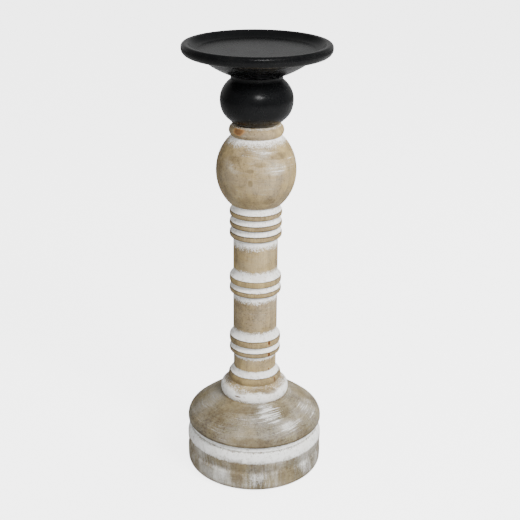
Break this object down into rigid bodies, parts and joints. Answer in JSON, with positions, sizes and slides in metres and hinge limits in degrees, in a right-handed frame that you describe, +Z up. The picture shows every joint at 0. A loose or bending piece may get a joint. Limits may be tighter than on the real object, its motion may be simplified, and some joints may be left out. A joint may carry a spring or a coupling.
{
  "type": "wooden candlestick",
  "caption": "Tall turned wooden candlestick with a dished black plate for a pillar candle, a black knop, a whitewashed ringed column and a wide domed base.",
  "frame": {"origin": "centre of the underside of the felt, where the candlestick stands", "axes": "+Z up the turning axis, from the felt to the candle plate; X and Y are alike, because the wood is turned"},
  "size_m": [0.12, 0.12, 0.376],
  "materials": {
    "black_paint": "satin near-black paint over turned wood",
    "whitewashed_wood": "dry greige turned wood, white paint rubbed into the grooves and dry-brushed on the ball and bell",
    "steel": "bright zinc-plated wood screws and washer",
    "felt": "dark brown needle felt"
  },
  "bodies": {
    "root": {"candle_plate": "black_paint", "plate_screw": "steel", "knop": "black_paint", "knop_screw": "steel", "column": "whitewashed_wood", "base": "whitewashed_wood", "base_washer": "steel", "base_screw": "steel", "felt_pad": "felt"}
  },
  "joints": []
}
